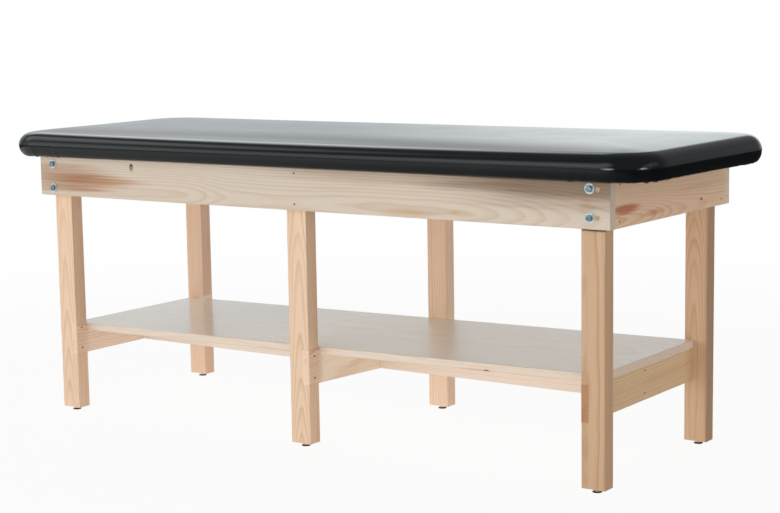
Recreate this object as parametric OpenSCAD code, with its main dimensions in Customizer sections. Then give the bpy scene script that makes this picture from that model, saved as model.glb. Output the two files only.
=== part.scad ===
// Fixed-height treatment table: a padded, vinyl-covered top on a pine frame with six bolted and
// nailed legs, three cross rails let into the legs, a sloping storage shelf and levelling glides.
// The origin is on the floor under the middle of the table. X runs along its length, -Y is its front.

/* [Frame] */
// Length of the long aprons
frame_l = 1784; // [1500:1:2100]
// Width over the long aprons
frame_w = 636; // [560:1:760]
// Height of every apron board
apron_h = 111; // [106:1:140]
// Thickness of every apron board
apron_t = 26; // [22:1:32]
// Rounding along the edges of the frame boards
edge_ease = 1.5; // [1:0.1:3]

/* [Legs] */
// Height of a leg, from its foot to the underside of the top
leg_h = 717; // [600:1:800]
// Size of a leg along the table
leg_w = 61; // [54:1:80]
// Size of a leg across the table
leg_d = 41; // [36:1:60]
// Place of the front middle leg along the table
front_middle_leg_x = -12; // [-60:1:60]
// Place of the back middle leg along the table
back_middle_leg_x = 53; // [-60:1:80]

/* [Cross rails and stretchers] */
// Thickness of the cross rails and of the shelf stretchers
rail_t = 19; // [16:1:24]
// Height of the cross rails and of the shelf stretchers
rail_h = 89; // [76:1:110]
// Height of the rails' lower edge above the feet of the legs
rail_up = 155; // [100:1:220]
// Place of the stretchers' middle line across the table
stretcher_y = -10; // [-60:1:60]

/* [Shelf] */
// Thickness of the shelf board
shelf_t = 20; // [16:1:24]
// Slope of the shelf along the table, in degrees
shelf_tilt = 0.87; // [0:0.01:1.2]
// Depth to which the shelf is let into the right rail
right_housing = 2.6; // [1:0.1:8]
// Length of shelf past the outer face of the left rail
shelf_left_lap = 32; // [10:1:60]
// Length of shelf past the outer face of the right rail
shelf_right_lap = 6; // [3:1:40]
// Gap between the shelf and the legs beside it
shelf_gap = 0.5; // [0.3:0.1:3]
// Rounding of the shelf's long edges
shelf_ease = 3; // [1:0.5:6]

/* [Padded top] */
// How far the padded top reaches past each end of the frame
end_overhang = 108; // [80:1:160]
// How far the padded top reaches past each side of the frame
side_overhang = 44; // [40:1:80]
// Plan radius of the corners
pad_corner_r = 115; // [90:1:160]
// Thickness of the plywood deck
deck_t = 18; // [12:1:25]
// Thickness of the foam over the deck, at its crown
foam_t = 49; // [40:1:75]
// Thickness of the vinyl cover
vinyl_t = 1.2; // [0.8:0.1:2]
// Rise of the crown above the rolled edge
crown_rise = 4; // [2:0.5:10]
// Run of the crown in from the rolled edge
crown_run = 200; // [120:1:220]
// Height of the widest line of the edge above the top's underside
bulge_up = 28; // [22:1:32]
// How far the cover is drawn in under the widest line
edge_tuck = 22; // [14:1:24]
// How far the rolled upper edge reaches in over the top
edge_roll = 36; // [24:1:50]
// How far the foam wraps round the edge of the deck
deck_inset = 25; // [25:1:32]
// How far the cover's cut edge reaches inside the end aprons
hem_past = 6; // [4:1:30]

/* [Deck cleats] */
// Thickness of a cleat
cleat_t = 19; // [16:1:24]
// Height of a cleat
cleat_h = 38; // [32:1:50]
// Gap between a cleat's end and the leg
cleat_gap = 2; // [1:0.5:6]

/* [Bolts] */
// Diameter of a leg bolt
bolt_d = 9.5; // [6:0.5:10]
// Width across the flats of a bolt head and nut
bolt_flats = 14.5; // [12:0.5:17]
// Height of a bolt head
head_h = 6; // [4:0.1:7]
// Height of a nut
nut_h = 8; // [5:0.1:9]
// Diameter of a bolt washer
washer_d = 25; // [20:0.5:25]
// Thickness of a bolt washer
washer_t = 1.6; // [1:0.1:2.5]
// Distance of the left bolts from the end of the frame
left_bolt_in = 48; // [44:1:58]
// Distance of the right bolts from the end of the frame
right_bolt_in = 51; // [49:1:58]
// Distance of the upper left bolts below the top of the aprons
left_bolt_drop = 24; // [19:1:26]
// Distance of the upper right bolts below the top of the aprons
right_bolt_drop = 19; // [18:1:24]
// Distance between the two bolts of a leg
bolt_pitch = 66; // [50:1:68]
// Diameter of the two filled holes beside the front right bolts
plug_d = 12; // [8:0.5:12]

/* [Nails and screws] */
// Diameter of a nail
nail_d = 2.6; // [2:0.1:3.5]
// Diameter of a nail head
nail_head_d = 5; // [4:0.1:6]
// Diameter of a wood screw's shank
screw_d = 4; // [3:0.1:5]
// Diameter of a wood screw's head
screw_head_d = 8; // [6:0.1:9]
// Place of the angled deck screw along the front apron
pocket_x = -549; // [-700:1:-200]
// Diameter of the angled pocket round that screw
pocket_d = 14; // [13:0.5:15]
// Distance between the cover's staples
staple_pitch = 75; // [50:1:120]

/* [Glides] */
// Diameter of a glide's base
glide_d = 23; // [18:0.5:32]
// Thickness of a glide's base
glide_t = 3; // [2.6:0.1:5]
// Diameter of a glide's threaded stem
stem_d = 6; // [5:0.1:8]
// Length of the stem above the base
stem_l = 37; // [34:1:50]
// Thickness of the stem's hexagonal collar
collar_t = 5.5; // [4:0.1:7]
// Width across the flats of the collar
collar_flats = 11; // [10:0.1:14]
// Diameter of the tee nut's flange under the leg
tee_flange_d = 19; // [17:0.5:24]
// Thickness of the tee nut's flange
tee_flange_t = 1.5; // [1:0.1:2.5]
// Diameter of the tee nut's barrel
tee_barrel_d = 9; // [8.5:0.1:11]
// Length of the tee nut's barrel in the leg
tee_barrel_l = 9; // [7:0.5:14]

/* [Hidden] */

// The two sides, the two ends and the three places along the table
sides = ["front", "back"];
ends = ["left", "right"];
places = ["left", "middle", "right"];
function way(side) = side == "front" ? -1 : 1;
function end_way(end) = end == "left" ? -1 : 1;

// Faces of round pieces, and the overrun of every cut past a face
$fn = 32;
overrun = 5;

// Radial clearances
nail_fit = 0.05;
screw_fit = 0.1;
bolt_fit = 0.2;
stem_fit = 0.1;
// Gap between the foam and what lies round it
soft_gap = 0.3;

// Heights above the floor
foot_z = glide_t + collar_t + tee_flange_t;
frame_top_z = foot_z + leg_h;
rail_z = foot_z + rail_up;
deck_z = frame_top_z + vinyl_t;
deck_top_z = deck_z + deck_t;
pad_top_z = deck_top_z + foam_t + vinyl_t;
roll_top_z = pad_top_z - crown_rise;
bulge_z = frame_top_z + bulge_up;

// Overall size of the padded top, and where the cover's cut edge lies under it
pad_l = frame_l + 2 * end_overhang;
pad_w = frame_w + 2 * side_overhang;
hem_reach = end_overhang + apron_t + hem_past;

// Widths inside the frame and between the legs
inner_w = frame_w - 2 * apron_t;
bay_w = inner_w - 2 * leg_d;

// Places of the legs and rails
corner_leg_x = frame_l / 2 - apron_t - leg_w / 2;
leg_y = inner_w / 2 - leg_d / 2;
middle_skew = atan((back_middle_leg_x - front_middle_leg_x) / inner_w);
outer_rail_x = corner_leg_x - leg_w / 2 + rail_t / 2;
middle_rail_x = (front_middle_leg_x + back_middle_leg_x + leg_w - rail_t / cos(middle_skew)) / 2;
function middle_leg_x(side) = side == "front" ? front_middle_leg_x : back_middle_leg_x;
function leg_x(side, place) =
    place == "left" ? -corner_leg_x : place == "right" ? corner_leg_x : middle_leg_x(side);
function rail_x(place) =
    place == "left" ? -outer_rail_x : place == "right" ? outer_rail_x : middle_rail_x;
function rail_skew(place) = place == "middle" ? middle_skew : 0;
// A rail's face that lies flush with its legs looks right, except on the right rail
function rail_flush(place) = place == "right" ? -1 : 1;
// A rail's face that the stretcher nails enter
function rail_outer(place) = place == "left" ? -1 : 1;
// The shelf's upper face at mid length
shelf_z = rail_z + rail_h - right_housing + shelf_t - outer_rail_x * tan(shelf_tilt);

// Places of the bolts
bolt_grip = apron_t + leg_d;
bolt_end = 2;
function bolt_x(place) = place == "left" ? left_bolt_in - frame_l / 2 : frame_l / 2 - right_bolt_in;
function bolt_drop(place) = place == "left" ? left_bolt_drop : right_bolt_drop;
function bolt_heights(place) = [for (k = [0, 1]) frame_top_z - bolt_drop(place) - k * bolt_pitch];

// Filled holes: depth, place beside the bolts, and shift from each bolt as a share of the pitch
plug_l = 12;
plug_side = 19.5;
plug_shift_shares = [-0.03, 0.015];

// Nails: head, lengths and places, with shares of the board that each enters
nail_head_t = 1;
nail_bite_share = 0.74;
stretcher_bite = 39;
rail_nail_l = rail_t + nail_bite_share * (leg_w - rail_t);
stretcher_nail_l = rail_t + stretcher_bite;
leg_nail_l = apron_t + nail_bite_share * leg_d;
rail_nail_shares = [0.18, 0.82];
low_end_nail_shares = [0.19, 0.52];
high_end_nail_shares = [0.2, 0.83];
end_nail_over = 8;
end_nail_under = 10;
middle_nail_side = 16;
middle_nail_drops = [17, 95];

// Screws: heads, lengths and places, with shares of the board that each enters
screw_head_t = 3;
pan_head_t = 2.5;
apron_bite_share = 0.73;
deck_bite_share = 0.6;
cleat_screw_l = cleat_t + apron_bite_share * apron_t;
deck_screw_l = cleat_h + vinyl_t + deck_bite_share * deck_t;
cleat_screw_shares = [0.12, 0.5, 0.88];
screw_stagger = 40;
pocket_drop = 24;
pocket_tilt = 42;
pocket_depth = 9.5;
pocket_head_d = 12;
pocket_drive_d = 4.5;
pocket_drive_share = 0.7;
pocket_screw_l = (pocket_drop + vinyl_t + deck_bite_share * deck_t) / cos(pocket_tilt) - pocket_depth;

// Staples: width, wire, length of leg, and place midway between the deck's edge and the apron
staple_w = 10;
staple_wire = 0.9;
staple_leg = 9;
staple_inset = (deck_inset + side_overhang) / 2;

// Stems: height of the lower end, room over the upper end, and the chamfer of a glide's base
stem_z = 1.2;
stem_room = 4;
base_chamfer = 0.8;
base_rim_share = 0.6;
base_top_share = 0.7;

// Rings of the padded top
inner_corner_r = 60;
corner_steps = 7;
low_steps = 4;
roll_steps = 6;
crown_steps = 3;

// A flat outline with rounded corners, centred
module soft_square(w, h, r) {
    square([w - 2 * r, h], center = true);
    square([w, h - 2 * r], center = true);
    for (x = [-1, 1], y = [-1, 1])
        translate([x * (w / 2 - r), y * (h / 2 - r)])
            circle(r = r);
}

// Centred boards with eased long edges, along X, Y and Z
module board_x(l, d, h, ease) {
    rotate([90, 0, 90])
        linear_extrude(l, center = true)
            soft_square(d, h, ease);
}
module board_y(l, w, h, ease) {
    rotate([90, 0, 0])
        linear_extrude(l, center = true)
            soft_square(w, h, ease);
}
module board_z(l, w, d, ease) {
    linear_extrude(l, center = true)
        soft_square(w, d, ease);
}

// A closed surface through rings of points, from the first flat ring to the last
module loft(rings) {
    n = len(rings[0]);
    m = len(rings);
    walls = [for (k = [0:m - 2], i = [0:n - 1]) let (a = k * n, b = a + n, j = (i + 1) % n)
        each [[a + i, b + i, b + j], [a + i, b + j, a + j]]];
    first = [for (i = [0:n - 1]) i];
    last = [for (i = [n - 1:-1:0]) (m - 1) * n + i];
    polyhedron(points = [for (r = rings) each r], faces = concat([first], walls, [last]), convexity = 6);
}

// One level ring of the padded top, from its distance in from the widest line and its height
function pad_ring(p) = let (r = max(pad_corner_r - p[0], inner_corner_r)) [
    for (q = [0:3], i = [0:corner_steps])
        let (a = 90 * (q + i / corner_steps),
             sx = (q == 0 || q == 3) ? 1 : -1,
             sy = q < 2 ? 1 : -1)
        [sx * (pad_l / 2 - p[0] - r) + r * cos(a), sy * (pad_w / 2 - p[0] - r) + r * sin(a), p[1]]];

// Section of the padded edge, t inside the outer skin, from the underside up to the crown
function pad_section(t) = concat(
    [for (i = [0:low_steps]) let (a = 90 * i / low_steps - 90)
        [edge_tuck - (edge_tuck - t) * cos(a), bulge_z + (bulge_up - t) * sin(a)]],
    [for (i = [1:roll_steps]) let (a = 90 * i / roll_steps)
        [edge_roll - (edge_roll - t) * cos(a), bulge_z + (roll_top_z - bulge_z - t) * sin(a)]],
    [for (i = [1:crown_steps]) let (u = i / crown_steps)
        [edge_roll + crown_run * u, roll_top_z - t + crown_rise * (1 - pow(1 - u, 2))]]);
function backwards(list) = [for (i = [len(list) - 1:-1:0]) list[i]];

// A hexagonal prism by its width across the flats, and one with a turned upper edge
module hexagon(flats, h) {
    cylinder(d = flats / cos(30), h = h, $fn = 6);
}
module turned_hexagon(flats, h) {
    intersection() {
        hexagon(flats, h);
        cylinder(d1 = flats / cos(30) + h, d2 = flats, h = h);
    }
}

// A nail along -Z with its head flush at Z = 0, or its hole where fit is the clearance
module nail(l, fit = 0) {
    translate([0, 0, -nail_head_t - fit])
        cylinder(d = nail_head_d + 2 * fit, h = nail_head_t + fit);
    translate([0, 0, nail_d - l - fit])
        cylinder(d = nail_d + 2 * fit, h = l - nail_d);
    translate([0, 0, -l - fit])
        cylinder(r1 = 0, r2 = nail_d / 2 + fit, h = nail_d);
}

// A countersunk screw along -Z with its head flush at Z = 0, or its hole where fit is the clearance
module wood_screw(l, fit = 0) {
    translate([0, 0, -screw_head_t - fit])
        cylinder(d1 = screw_d + 2 * fit, d2 = screw_head_d + 2 * fit, h = screw_head_t + fit);
    translate([0, 0, screw_d - l - fit])
        cylinder(d = screw_d + 2 * fit, h = l - screw_d - screw_head_t);
    translate([0, 0, -l - fit])
        cylinder(r1 = 0, r2 = screw_d / 2 + fit, h = screw_d);
}

// Each of these puts a fastener at its places, with Z pointing out of the wood that its head meets
module at_bolts(side, place) {
    for (z = bolt_heights(place))
        translate([bolt_x(place), way(side) * frame_w / 2, z])
            rotate([-way(side) * 90, 0, 0])
                children();
}
module at_plugs() {
    for (k = [0, 1])
        translate([bolt_x("right") + plug_side, -frame_w / 2,
                   bolt_heights("right")[k] + plug_shift_shares[k] * bolt_pitch])
            rotate([90, 0, 0])
                children();
}
module at_middle_nails(side) {
    for (drop = middle_nail_drops)
        translate([middle_leg_x(side) + middle_nail_side, way(side) * frame_w / 2, frame_top_z - drop])
            rotate([-way(side) * 90, 0, 0])
                children();
}
module at_end_nails(side, place) {
    out = end_way(place);
    heights = bolt_heights(place);
    for (z = [heights[0] + end_nail_over, heights[1] - end_nail_under])
        translate([out * frame_l / 2, way(side) * leg_y, z])
            rotate([0, out * 90, 0])
                children();
}
module at_rail(place) {
    translate([rail_x(place), 0, rail_z])
        rotate([0, 0, -rail_skew(place)])
            children();
}
module at_rail_nails(side, place) {
    at_rail(place)
        for (share = rail_nail_shares)
            translate([rail_flush(place) * rail_t / 2, way(side) * leg_y, share * rail_h])
                rotate([0, rail_flush(place) * 90, 0])
                    children();
}
module at_stretcher_nails(place) {
    shares = place == "right" ? high_end_nail_shares : low_end_nail_shares;
    at_rail(place)
        for (share = shares)
            translate([rail_outer(place) * rail_t / 2, stretcher_y, share * rail_h])
                rotate([0, rail_outer(place) * 90, 0])
                    children();
}

// Ends along the table of the cleat in the left or right bay
function cleat_x0(side, bay) =
    leg_x(side, bay == "left" ? "left" : "middle") + leg_w / 2 + cleat_gap;
function cleat_x1(side, bay) =
    leg_x(side, bay == "left" ? "middle" : "right") - leg_w / 2 - cleat_gap;
function along_cleat(side, bay, share) =
    cleat_x0(side, bay) + share * (cleat_x1(side, bay) - cleat_x0(side, bay));
module at_cleat_screws(side, bay) {
    for (share = cleat_screw_shares)
        translate([along_cleat(side, bay, share), way(side) * (inner_w / 2 - cleat_t),
                   frame_top_z - cleat_h / 2])
            rotate([way(side) * 90, 0, 0])
                children();
}
module at_deck_screws(side, bay) {
    for (share = cleat_screw_shares)
        translate([along_cleat(side, bay, share) - end_way(bay) * screw_stagger,
                   way(side) * (inner_w - cleat_t) / 2, frame_top_z - cleat_h])
            rotate([180, 0, 0])
                children();
}
module at_pocket() {
    translate([pocket_x, -frame_w / 2, frame_top_z - pocket_drop])
        rotate([-pocket_tilt, 0, 0])
            children();
}
module at_foot(side, place) {
    translate([leg_x(side, place), way(side) * leg_y, 0])
        children();
}

// The shelf's own plane, its upper face at Z = 0, and all that lies over its underside between the legs
module at_shelf() {
    translate([0, 0, shelf_z])
        rotate([0, -shelf_tilt, 0])
            children();
}
module shelf_housing() {
    at_shelf()
        translate([-frame_l / 2, -bay_w / 2, -shelf_t])
            cube([frame_l, bay_w, rail_h]);
}

// Padded top
module vinyl_cover() {
    hem = [[hem_reach, deck_z], [hem_reach, frame_top_z]];
    color("#2a2e30")
        loft([for (p = concat(backwards(pad_section(vinyl_t)), hem, pad_section(0))) pad_ring(p)]);
}
module foam_pad() {
    round_in = pad_corner_r - (pad_corner_r - deck_inset + soft_gap) / cos(45 / corner_steps);
    pocket = [for (z = [deck_top_z, deck_z + soft_gap]) [round_in, z]];
    color("#d9d2b8")
        loft([for (p = concat(pocket, pad_section(vinyl_t + soft_gap))) pad_ring(p)]);
}
module deck_board() {
    color("#cdb38b")
        difference() {
            translate([0, 0, deck_z])
                linear_extrude(deck_t)
                    soft_square(pad_l - 2 * deck_inset, pad_w - 2 * deck_inset, pad_corner_r - deck_inset);
            for (side = sides, bay = ends)
                at_deck_screws(side, bay)
                    wood_screw(deck_screw_l, screw_fit);
            at_pocket()
                pocket_screw_shank(screw_fit);
        }
}
module staple() {
    translate([-staple_w / 2, -staple_wire / 2, -staple_wire])
        cube([staple_w, staple_wire, staple_wire]);
    for (x = [0, staple_w - staple_wire])
        translate([x - staple_w / 2, -staple_wire / 2, -staple_wire])
            cube([staple_wire, staple_wire, staple_wire + staple_leg]);
}
module cover_staples() {
    run_x = pad_l - 2 * pad_corner_r;
    run_y = pad_w - 2 * pad_corner_r;
    count_x = floor(run_x / staple_pitch);
    count_y = floor(run_y / staple_pitch);
    color("#b9bdc0") {
        for (side = sides, i = [0:count_x])
            translate([run_x * (i / count_x - 1 / 2), way(side) * (pad_w / 2 - staple_inset), frame_top_z])
                staple();
        for (end = ends, i = [0:count_y])
            translate([end_way(end) * (pad_l / 2 - staple_inset), run_y * (i / count_y - 1 / 2),
                       frame_top_z])
                rotate(90)
                    staple();
    }
}

// Aprons
module side_apron(side) {
    color("#dcbf98")
        difference() {
            translate([0, way(side) * (frame_w - apron_t) / 2, frame_top_z - apron_h / 2])
                board_x(frame_l, apron_t, apron_h, edge_ease);
            for (end = ends)
                at_bolts(side, end)
                    bolt_hole();
            at_middle_nails(side)
                nail(leg_nail_l, nail_fit);
            for (bay = ends)
                at_cleat_screws(side, bay)
                    wood_screw(cleat_screw_l, screw_fit);
            if (side == "front") {
                at_pocket()
                    pocket_bore();
                at_plugs()
                    plug();
            }
        }
}
module end_apron(end) {
    color("#d8b98f")
        difference() {
            translate([end_way(end) * (frame_l - apron_t) / 2, 0, frame_top_z - apron_h / 2])
                board_y(inner_w, apron_t, apron_h, edge_ease);
            for (side = sides)
                at_end_nails(side, end)
                    nail(leg_nail_l, nail_fit);
        }
}

// Legs, each cut for its cross rail, its fasteners and its tee nut
module leg(side, place) {
    color("#dfc29b")
        difference() {
            translate([leg_x(side, place), way(side) * leg_y, foot_z + leg_h / 2])
                board_z(leg_h, leg_w, leg_d, edge_ease);
            rail_dado(place);
            if (place == "middle") {
                at_middle_nails(side)
                    nail(leg_nail_l, nail_fit);
            } else {
                at_bolts(side, place)
                    bolt_hole();
                at_end_nails(side, place)
                    nail(leg_nail_l, nail_fit);
            }
            at_rail_nails(side, place)
                nail(rail_nail_l, nail_fit);
            at_foot(side, place)
                foot_bore();
        }
}
// The slot for a rail's end, open on the side of the leg that the rail is flush with
module rail_dado(place) {
    open = leg_d / 2;
    at_rail(place)
        translate([-rail_t / 2 - (rail_flush(place) < 0 ? open : 0), -inner_w, 0])
            cube([rail_t + open, 2 * inner_w, rail_h]);
}
module foot_bore() {
    translate([0, 0, foot_z - overrun])
        cylinder(d = tee_barrel_d + 2 * stem_fit, h = overrun + tee_barrel_l + stem_fit);
    translate([0, 0, foot_z])
        cylinder(d = stem_d + 4 * stem_fit, h = glide_t + stem_l + stem_room - foot_z);
}

// Cross rails, their upper edges cut away under the shelf
module cross_rail(place) {
    color("#cfa97e")
        difference() {
            intersection() {
                at_rail(place)
                    translate([0, 0, rail_h / 2])
                        board_y(inner_w + leg_d, rail_t, rail_h, edge_ease);
                translate([-frame_l / 2, -inner_w / 2, 0])
                    cube([frame_l, inner_w, frame_top_z]);
            }
            shelf_housing();
            for (side = sides)
                at_rail_nails(side, place)
                    nail(rail_nail_l, nail_fit);
            at_stretcher_nails(place)
                nail(stretcher_nail_l, nail_fit);
        }
}

// Stretchers on edge under the shelf, from the outer rails to the middle one
module stretcher(bay) {
    end_x = outer_rail_x - rail_t / 2;
    x0 = bay == "left" ? -end_x : middle_rail_x;
    x1 = bay == "left" ? middle_rail_x : end_x;
    color("#cda57a")
        difference() {
            translate([(x0 + x1) / 2, stretcher_y, rail_z + rail_h / 2])
                board_x(x1 - x0, rail_t, rail_h, edge_ease);
            at_rail("middle")
                translate([bay == "left" ? -rail_t / 2 : rail_t / 2 - end_x, -bay_w / 2, -overrun])
                    cube([end_x, bay_w, rail_h + 2 * overrun]);
            shelf_housing();
            for (place = bay == "left" ? ["left", "middle"] : ["right"])
                at_stretcher_nails(place)
                    nail(stretcher_nail_l, nail_fit);
        }
}

module shelf_board() {
    x0 = -outer_rail_x - rail_t / 2 - shelf_left_lap;
    x1 = outer_rail_x + rail_t / 2 + shelf_right_lap;
    color("#e3cdb0")
        at_shelf()
            translate([(x0 + x1) / 2, 0, -shelf_t / 2])
                board_x(x1 - x0, bay_w - 2 * shelf_gap, shelf_t, shelf_ease);
}

// Cleats inside the long aprons, screwed to them and up into the deck
module cleat(side, bay) {
    x0 = cleat_x0(side, bay);
    x1 = cleat_x1(side, bay);
    color("#d3b386")
        difference() {
            translate([(x0 + x1) / 2, way(side) * (inner_w - cleat_t) / 2, frame_top_z - cleat_h / 2])
                board_x(x1 - x0, cleat_t, cleat_h, edge_ease);
            at_cleat_screws(side, bay)
                wood_screw(cleat_screw_l, screw_fit);
            at_deck_screws(side, bay)
                wood_screw(deck_screw_l, screw_fit);
        }
}

// Bolts through apron and leg, a washer under each head and each nut
module bolt_hole() {
    translate([0, 0, -bolt_grip - overrun])
        cylinder(r = bolt_d / 2 + bolt_fit, h = bolt_grip + 2 * overrun);
}
module bolt() {
    reach = bolt_grip + washer_t + nut_h + bolt_end;
    translate([0, 0, washer_t])
        turned_hexagon(bolt_flats, head_h);
    translate([0, 0, -reach])
        cylinder(d = bolt_d, h = reach + washer_t);
}
module washer() {
    difference() {
        cylinder(d = washer_d, h = washer_t);
        translate([0, 0, -overrun])
            cylinder(r = bolt_d / 2 + bolt_fit, h = washer_t + 2 * overrun);
    }
}
module nut() {
    difference() {
        turned_hexagon(bolt_flats, nut_h);
        translate([0, 0, -overrun])
            cylinder(r = bolt_d / 2 + stem_fit, h = nut_h + 2 * overrun);
    }
}
module at_all_bolts() {
    for (side = sides, end = ends)
        at_bolts(side, end)
            children();
}
module leg_bolts() {
    color("#aab4b8")
        at_all_bolts()
            bolt();
}
module bolt_washers() {
    color("#c3cacc")
        at_all_bolts() {
            washer();
            translate([0, 0, -bolt_grip - washer_t])
                washer();
        }
}
module leg_nuts() {
    color("#a4adb0")
        at_all_bolts()
            translate([0, 0, -bolt_grip - washer_t - nut_h])
                nut();
}
module plug() {
    translate([0, 0, -plug_l])
        cylinder(d = plug_d, h = plug_l);
}
module hole_plugs() {
    color("#b69a6c")
        at_plugs()
            plug();
}

// Nails
module rail_nails() {
    color("#4a3a2c")
        for (side = sides, place = places)
            at_rail_nails(side, place)
                nail(rail_nail_l);
}
module stretcher_nails() {
    color("#4a3a2c")
        for (place = places)
            at_stretcher_nails(place)
                nail(stretcher_nail_l);
}
module middle_leg_nails() {
    color("#4a3a2c")
        for (side = sides)
            at_middle_nails(side)
                nail(leg_nail_l);
}
module end_apron_nails() {
    color("#4a3a2c")
        for (side = sides, end = ends)
            at_end_nails(side, end)
                nail(leg_nail_l);
}

// Screws
module cleat_screws() {
    color("#8f8570")
        for (side = sides, bay = ends)
            at_cleat_screws(side, bay)
                wood_screw(cleat_screw_l);
}
module deck_screws() {
    color("#8f8570")
        for (side = sides, bay = ends)
            at_deck_screws(side, bay)
                wood_screw(deck_screw_l);
}
// The angled screw points along +Z from the bottom of its pocket
module pocket_screw_shank(fit = 0) {
    translate([0, 0, pocket_depth])
        cylinder(r = screw_d / 2 + fit, h = pocket_screw_l - screw_d);
    translate([0, 0, pocket_depth + pocket_screw_l - screw_d])
        cylinder(r1 = screw_d / 2 + fit, r2 = 0, h = screw_d + fit);
}
module pocket_bore() {
    translate([0, 0, -apron_t])
        cylinder(d = pocket_d, h = apron_t + pocket_depth);
    pocket_screw_shank(screw_fit);
}
module pocket_screw() {
    color("#77746c")
        at_pocket() {
            pocket_screw_shank();
            translate([0, 0, pocket_depth - pan_head_t])
                difference() {
                    cylinder(d = pocket_head_d, h = pan_head_t);
                    translate([0, 0, -overrun])
                        cylinder(d = pocket_drive_d, h = overrun + pocket_drive_share * pan_head_t, $fn = 4);
                }
        }
}

// Levelling glides: a tee nut in each leg, a threaded stem and a base
module tee_nuts() {
    color("#b4bbbd")
        for (side = sides, place = places)
            at_foot(side, place)
                difference() {
                    union() {
                        translate([0, 0, foot_z - tee_flange_t])
                            cylinder(d = tee_flange_d, h = tee_flange_t);
                        translate([0, 0, foot_z - tee_flange_t])
                            cylinder(d = tee_barrel_d, h = tee_flange_t + tee_barrel_l);
                    }
                    cylinder(d = stem_d + 2 * stem_fit, h = foot_z + tee_barrel_l + overrun);
                }
}
module stem(side, place) {
    color("#c9ced0")
        at_foot(side, place) {
            translate([0, 0, stem_z])
                cylinder(d = stem_d, h = glide_t + stem_l - stem_z);
            translate([0, 0, glide_t])
                hexagon(collar_flats, collar_t);
        }
}
module glide(side, place) {
    r = glide_d / 2;
    color("#4b3a2e")
        at_foot(side, place)
            difference() {
                rotate_extrude()
                    polygon([[0, 0], [r - base_chamfer, 0], [r, base_chamfer],
                             [r, base_rim_share * glide_t], [base_top_share * r, glide_t], [0, glide_t]]);
                translate([0, 0, stem_z])
                    cylinder(d = stem_d + 2 * stem_fit, h = glide_t);
            }
}

vinyl_cover();
foam_pad();
deck_board();
cover_staples();
side_apron("front");  // side_apron_front
side_apron("back");  // side_apron_back
end_apron("left");  // end_apron_left
end_apron("right");  // end_apron_right
leg("front", "left");  // leg_front_left
leg("front", "middle");  // leg_front_middle
leg("front", "right");  // leg_front_right
leg("back", "left");  // leg_back_left
leg("back", "middle");  // leg_back_middle
leg("back", "right");  // leg_back_right
cross_rail("left");  // cross_rail_left
cross_rail("middle");  // cross_rail_middle
cross_rail("right");  // cross_rail_right
stretcher("left");  // stretcher_left
stretcher("right");  // stretcher_right
shelf_board();
cleat("front", "left");  // cleat_front_left
cleat("front", "right");  // cleat_front_right
cleat("back", "left");  // cleat_back_left
cleat("back", "right");  // cleat_back_right
leg_bolts();
bolt_washers();
leg_nuts();
hole_plugs();
rail_nails();
stretcher_nails();
middle_leg_nails();
end_apron_nails();
cleat_screws();
deck_screws();
pocket_screw();
tee_nuts();
glide("front", "left");  // glide_front_left
glide("front", "middle");  // glide_front_middle
glide("front", "right");  // glide_front_right
glide("back", "left");  // glide_back_left
glide("back", "middle");  // glide_back_middle
glide("back", "right");  // glide_back_right
stem("front", "left");  // stem_front_left
stem("front", "middle");  // stem_front_middle
stem("front", "right");  // stem_front_right
stem("back", "left");  // stem_back_left
stem("back", "middle");  // stem_back_middle
stem("back", "right");  // stem_back_right
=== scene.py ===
# %% [markdown]
# # A treatment table with a padded top
# The table stands on the floor with its origin under its middle. X runs along its length and -Y is
# its front. The wooden frame, bolts and glides come ready made as solids, so this lesson gives them
# their finishes, and makes the upholstered top as a soft form of its own.

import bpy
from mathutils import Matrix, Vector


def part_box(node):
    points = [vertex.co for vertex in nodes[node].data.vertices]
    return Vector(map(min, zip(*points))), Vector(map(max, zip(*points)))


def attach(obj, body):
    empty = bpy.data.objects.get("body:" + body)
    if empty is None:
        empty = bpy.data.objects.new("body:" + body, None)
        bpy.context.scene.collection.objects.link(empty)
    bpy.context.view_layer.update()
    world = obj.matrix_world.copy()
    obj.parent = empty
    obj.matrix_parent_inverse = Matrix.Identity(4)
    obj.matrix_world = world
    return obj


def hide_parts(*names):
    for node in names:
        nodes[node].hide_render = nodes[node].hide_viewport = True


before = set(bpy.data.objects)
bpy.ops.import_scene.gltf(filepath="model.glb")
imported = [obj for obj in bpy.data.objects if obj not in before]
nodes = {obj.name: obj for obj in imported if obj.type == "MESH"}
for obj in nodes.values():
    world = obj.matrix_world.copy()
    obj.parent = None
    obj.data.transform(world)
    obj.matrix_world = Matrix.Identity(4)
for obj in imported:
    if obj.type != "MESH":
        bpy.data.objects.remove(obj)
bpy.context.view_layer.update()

# %% [markdown]
# ## Camera
# The photograph looks down a little from the front right. A camera can be turned by eye until the
# legs line up, but here its place was solved from the corners of the legs and aprons, and the three
# numbers below are how far it turns left, tips down and leans.

# %% Camera
import math

import bmesh
import bpy
from mathutils import Matrix, Vector, noise

image_w = 780
sensor_mm = 36
focal_px = 1750.9
eye = Vector((2.7065, -3.757, 1.1021))
yaw, pitch, roll = (math.radians(a) for a in (-35.046, -7.906, -0.923))
forward = Vector((math.cos(pitch) * math.sin(yaw), math.cos(pitch) * math.cos(yaw), math.sin(pitch)))
level = Vector((math.cos(yaw), -math.sin(yaw), 0))
upright = level.cross(forward)
across = level * math.cos(roll) + upright * math.sin(roll)
above = upright * math.cos(roll) - level * math.sin(roll)

bpy.ops.object.camera_add()
camera = bpy.context.object
camera.data.sensor_width = sensor_mm
camera.data.lens = focal_px * sensor_mm / image_w
camera.matrix_world = Matrix.Translation(eye) @ Matrix((across, above, -forward)).transposed().to_4x4()
bpy.context.scene.camera = camera
bpy.context.scene.view_settings.view_transform = "Standard"
print("lens", round(camera.data.lens, 2))

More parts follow.
